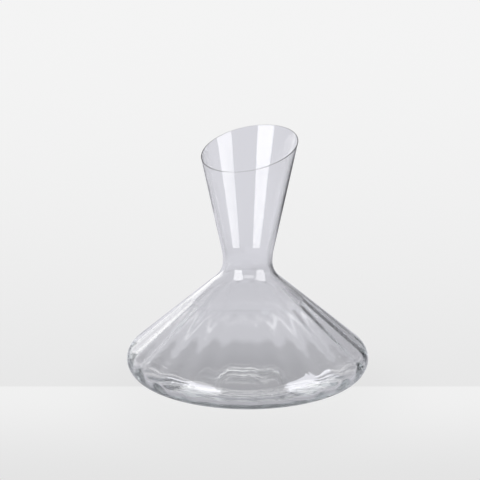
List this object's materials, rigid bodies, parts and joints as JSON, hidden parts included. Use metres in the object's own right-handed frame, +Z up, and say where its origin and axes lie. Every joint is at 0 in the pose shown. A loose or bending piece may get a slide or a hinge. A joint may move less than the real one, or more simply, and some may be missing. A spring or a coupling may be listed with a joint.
{
  "type": "wine decanter",
  "caption": "Clear glass wine decanter with a wide low bowl, long sloping shoulder, narrow throat and funnel neck cut on a slant for pouring.",
  "frame": {"origin": "on the decanter's axis, in the plane that it stands on", "axes": "+Z up along the axis of the bowl and neck; +X towards the high side of the slanted mouth, which is the pouring lip"},
  "size_m": [0.22, 0.22, 0.2396],
  "materials": {
    "clear_glass": "clear, fire-polished glass with a faint cool grey tint"
  },
  "bodies": {
    "root": {"base": "clear_glass", "lower_bowl": "clear_glass", "shoulder": "clear_glass", "throat": "clear_glass", "neck": "clear_glass"}
  },
  "joints": []
}
